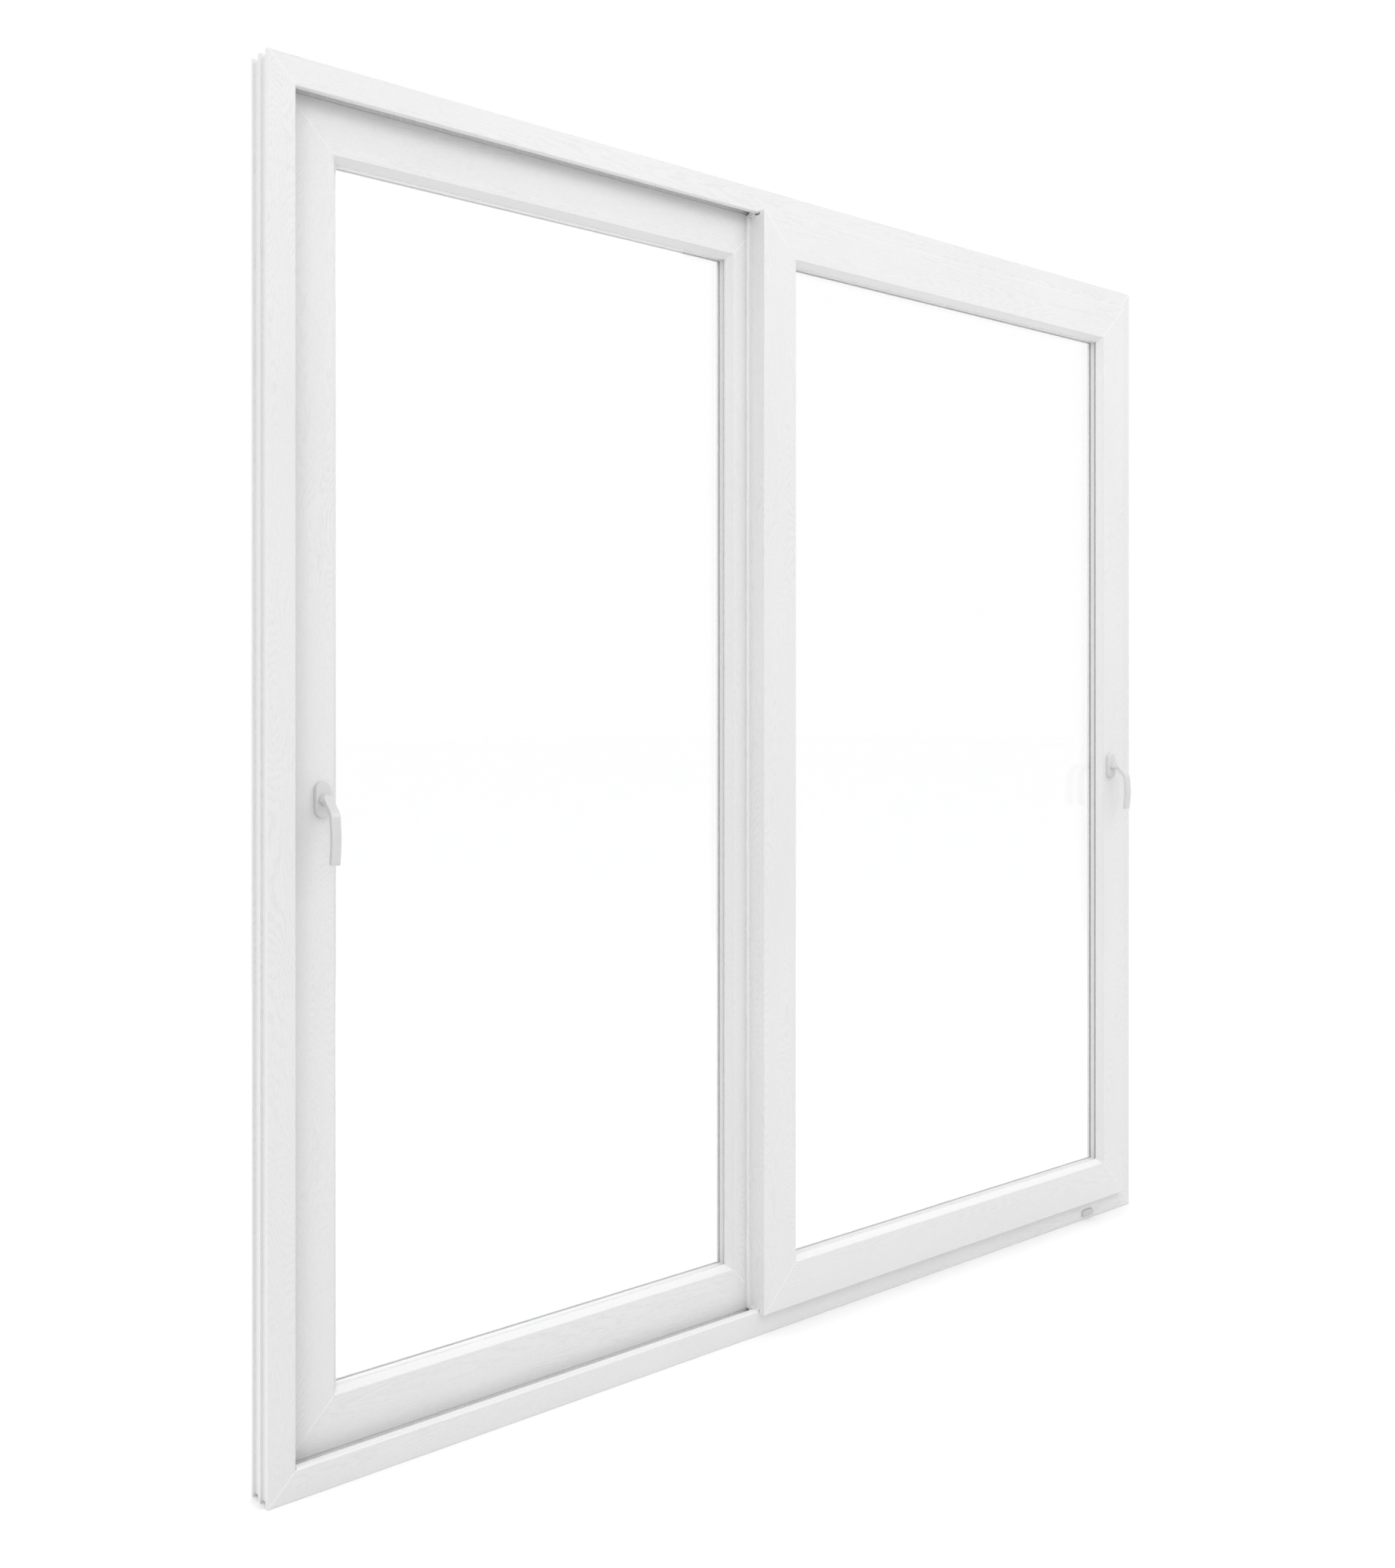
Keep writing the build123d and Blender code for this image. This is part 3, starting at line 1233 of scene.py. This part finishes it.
@dataclass
class LeverHandles:
    """The two lever handles: modelled on the left stile, copied to the right one."""

    finishes: Finishes
    drum_corners: int = 64
    round_steps: int = 5
    rim_round: float = 2 * MM
    rim_steps: int = 6
    back_inset: float = 0.3 * MM
    back_step: float = 0.3 * MM
    bore_slack: float = 0.15 * MM
    bore_depth: float = 8.4 * MM
    neck_radius: float = 9 * MM
    neck_back: float = 3.3 * MM
    neck_sink: float = 0.1 * MM
    neck_round: float = 0.9 * MM
    bar_width: float = 17 * MM
    bar_thickness: float = 10 * MM
    bar_round: float = 1.8 * MM
    tip_round: float = 2.2 * MM
    bend_radius: float = 18 * MM
    bow_radius: float = 150 * MM
    bend_steps: int = 8
    shoulder_start: float = 27 * MM
    shoulder_drop: float = 24 * MM
    grip_out: float = 53 * MM
    bow: float = 4 * MM
    tuck: float = 1 * MM
    length: float = 108 * MM

    def build(self) -> None:
        """Model one plate and one lever, and copy both."""
        low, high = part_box("left_handle_plate")
        seat = Vector(((low.x + high.x) / 2, high.y, (low.z + high.z) / 2))
        far_low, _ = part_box("right_handle_plate")
        shift = far_low - low
        plate = self.model_plate(seat, high - low)
        lever = self.model_lever(seat)
        for part, piece, bodies in (
            ("plate", plate, (WINDOW, WINDOW)),
            ("lever", lever, ("left_handle", "right_handle")),
        ):
            twin = copy_of(piece, f"right_{part}_dressed", shift)
            for side, item, body in (("left", piece, bodies[0]), ("right", twin, bodies[1])):
                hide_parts(f"{side}_handle_{part}")
                hand_over(item, body, self.finishes.handle)

    def model_plate(self, seat: Vector, size: Vector) -> Piece:
        """Long round-ended plate with a soft rim, a stepped back and the lever's bore.

        Args:
            seat: Point of the lever's axis on the stile.
            size: Size of the plate's solid.

        Returns:
            The left plate.
        """
        radius = size.x / 2
        half_run = size.z / 2 - radius
        centre = seat - Y_AXIS * (size.y / 2)
        plate = add_drum("left_plate_dressed", centre, radius, size.y, self.drum_corners)
        for side in (-1, 1):
            with shaping(plate, Pick.VERTICES, lambda v: (v.co.z - seat.z) * side > 0):
                bpy.ops.transform.translate(value=(0, 0, side * half_run))
        front = facing_test((0, -1, 0))
        round_off(plate, Pick.FACES, front, self.rim_round, self.rim_steps)
        with shaping(plate, Pick.FACES, facing_test((0, 1, 0))):
            bpy.ops.transform.translate(value=(0, -self.back_step, 0))
            bpy.ops.mesh.inset(thickness=self.back_inset)
            draw_out(Y_AXIS * self.back_step)
        bore_radius = self.neck_radius + self.bore_slack
        bore_centre = seat - Y_AXIS * size.y
        bore = add_drum("bore", bore_centre, bore_radius, 2 * self.bore_depth, self.drum_corners)
        unite(plate, bore, "DIFFERENCE")
        return plate

    def model_lever(self, seat: Vector) -> Piece:
        """Neck, sloping shoulder and bowed grip that hangs down.

        Args:
            seat: Point of the lever's axis on the stile.

        Returns:
            The left lever.
        """
        bow_drop = (self.shoulder_drop + self.length) / 2
        line = [
            seat + Vector((0, -self.shoulder_start, 0)),
            seat + Vector((0, -self.grip_out, -self.shoulder_drop)),
            seat + Vector((0, -self.grip_out - self.bow, -bow_drop)),
            seat + Vector((0, -self.grip_out + self.tuck, -self.length)),
        ]
        runs = [(after - before).normalized() for before, after in zip(line, line[1:])]
        bar = self.model_bar(line, runs)
        outward = runs[0].cross(X_AXIS)
        neck_middle = seat - Y_AXIS * ((self.neck_back + self.grip_out) / 2)
        neck_length = self.grip_out - self.neck_back
        neck = add_drum("neck", neck_middle, self.neck_radius, neck_length, self.drum_corners)
        slope = line[0] + outward * (self.bar_thickness / 2 - self.neck_sink)
        with shaping(neck, Pick.FACES, anything):
            bpy.ops.mesh.bisect(plane_co=slope, plane_no=outward, use_fill=True, clear_outer=True)
        round_off(neck, Pick.FACES, facing_test(outward), self.neck_round, self.round_steps)
        unite(bar, neck)
        return bar

    def model_bar(self, line: list[Vector], runs: list[Vector]) -> Piece:
        """Flat bar drawn along the lever's line by extrusions and spins.

        Args:
            line: Corners of the line, from the neck to the tip.
            runs: Directions of its straight runs.

        Returns:
            The bar with a rounded tip.
        """
        settle()
        bpy.ops.mesh.primitive_plane_add(size=1.0)
        bar = bpy.context.object
        bar.name = "left_lever_dressed"
        bar.scale = (self.bar_width, self.bar_thickness, 1.0)
        bar.rotation_euler = (math.atan2(-runs[0].y, runs[0].z), 0, 0)
        bar.location = line[0]
        apply_place(bar)
        round_off(bar, Pick.VERTICES, anything, self.bar_round, self.round_steps)
        at = line[0]
        for index, radius in ((1, self.bend_radius), (2, self.bow_radius)):
            before, after = runs[index - 1], runs[index]
            turn = before.angle(after)
            tangent = radius * math.tan(turn / 2)
            bend_start = line[index] - before * tangent
            hub = bend_start + X_AXIS.cross(before) * radius
            with shaping(bar, Pick.FACES, self.end_face(at, before)):
                draw_out(bend_start - at)
                bpy.ops.mesh.spin(steps=self.bend_steps, angle=-turn, center=hub, axis=X_AXIS)
            at = line[index] + after * tangent
        with shaping(bar, Pick.FACES, self.end_face(at, runs[2])):
            draw_out(line[3] - at)
        tip = self.end_face(line[3], runs[2])
        round_off(bar, Pick.FACES, tip, self.tip_round, self.round_steps)
        with shaping(bar, Pick.FACES, anything):
            bpy.ops.mesh.normals_make_consistent(inside=False)
        return bar

    def end_face(self, place: Vector, run: Vector) -> Test:
        """A test that passes the bar's end face at a place on its line."""
        return lambda face: (
            abs((face.center - place).dot(run)) < TOUCH and abs(face.normal.dot(run)) > SQUARE_ON
        )


@dataclass(frozen=True)
class Panel:
    """Square lamp panel, its power in watts."""

    name: str
    power: float
    size: float
    place: Vec
    aim: Vec


@dataclass
class Studio:
    """Pale floor, soft light, white surroundings and the camera at the photo's viewing angle."""

    horizon_level: float = 0.50
    zenith_level: float = 1.20
    sun_power: float = 0.60
    sun_spread: float = math.radians(60)
    sun_side: Vec = (-0.60, -0.78, 0.14)
    sun_distance: float = 6.0
    softbox: Panel = Panel("studio_softbox", 28.0, 2.4, (1.0, -2.8, 4.0), (0.6, 0.0, 1.8))
    spark: Panel = Panel("studio_spark", 9.0, 0.55, (-3.4, -2.2, 3.6), (-0.6, 0.0, 1.2))
    fill: Panel = Panel("studio_fill", 60.0, 3.0, (0.8, 3.6, 2.6), (0.0, 0.0, 1.2))
    floor_size: float = 80.0
    eye: Vec = (-2.266, -2.4145, 1.329)
    turn: float = math.radians(-39.78)
    focal_pixels: float = 1998.0
    image_height: float = 2044.0
    horizon_pixel: float = 913.0
    sensor: float = 36.0

    def build(self) -> None:
        """Make everything around the object."""
        self.build_floor()
        self.build_world()
        self.build_light()
        self.build_camera()
        bpy.context.scene.view_settings.view_transform = "Standard"

    def build_floor(self) -> None:
        """Pale floor that takes the shadow."""
        settle()
        bpy.ops.mesh.primitive_plane_add(size=self.floor_size)
        floor = bpy.context.object
        floor.name = "studio_floor"
        floor.data.materials.append(FloorPaint().build())

    def build_world(self) -> None:
        """White surroundings for the eye and for gloss, softer as a source of light."""
        world = bpy.data.worlds.new("studio_world")
        bpy.context.scene.world = world
        world.use_nodes = True
        graph = NodeGraph(world.node_tree)
        direction = graph.node("ShaderNodeTexCoord", output="Generated")
        _, _, rise = graph.split(direction)
        dome = rise.larger(0.0).between(self.horizon_level, self.zenith_level)
        seen = seen_rays(graph)
        light = {"Color": grey(1.0), "Strength": dome * (1.0 - seen) + seen}
        sky = graph.node("ShaderNodeBackground", inputs=light)
        graph.node("ShaderNodeOutputWorld", inputs={"Surface": sky})

    def build_light(self) -> None:
        """A wide key from the left, a softbox overhead, a small lamp for edges, a fill behind."""
        key = bpy.data.lights.new("studio_key", "SUN")
        key.energy = self.sun_power
        key.angle = self.sun_spread
        self.hang(key, Vector(self.sun_side) * self.sun_distance, Vector((0, 0, 0)))
        for panel in (self.softbox, self.spark, self.fill):
            lamp = bpy.data.lights.new(panel.name, "AREA")
            lamp.shape = "SQUARE"
            lamp.size = panel.size
            lamp.energy = panel.power
            self.hang(lamp, Vector(panel.place), Vector(panel.aim))

    def hang(self, lamp: bpy.types.Light, place: Vector, aim: Vector) -> None:
        """Hang a lamp.

        Args:
            lamp: Light to hang.
            place: Where it hangs.
            aim: Point that it looks at.
        """
        holder = bpy.data.objects.new(lamp.name, lamp)
        holder.location = place
        holder.rotation_euler = (aim - place).to_track_quat("-Z", "Y").to_euler()
        bpy.context.scene.collection.objects.link(holder)

    def build_camera(self) -> None:
        """Camera level with the horizon line of the photo."""
        lens = bpy.data.cameras.new("photo_camera")
        lens.sensor_width = self.sensor
        lens.lens = self.focal_pixels / self.image_height * self.sensor
        lens.shift_y = -(self.image_height / 2 - self.horizon_pixel) / self.image_height
        camera = bpy.data.objects.new("photo_camera", lens)
        camera.location = self.eye
        camera.rotation_euler = (math.pi / 2, 0.0, self.turn)
        bpy.context.scene.collection.objects.link(camera)
        bpy.context.scene.camera = camera


def main() -> None:
    """Build the window's looks and the studio around it."""
    logging.basicConfig(level=logging.INFO, format="%(message)s")
    finishes = Finishes()
    OuterFrame(finishes).build()
    for name in ("left_sash", "right_sash"):
        GlazedSash(finishes, name).build()
    MeetingStiles(finishes).build()
    LeverHandles(finishes).build()
    Studio().build()


if __name__ == "__main__":
    main()
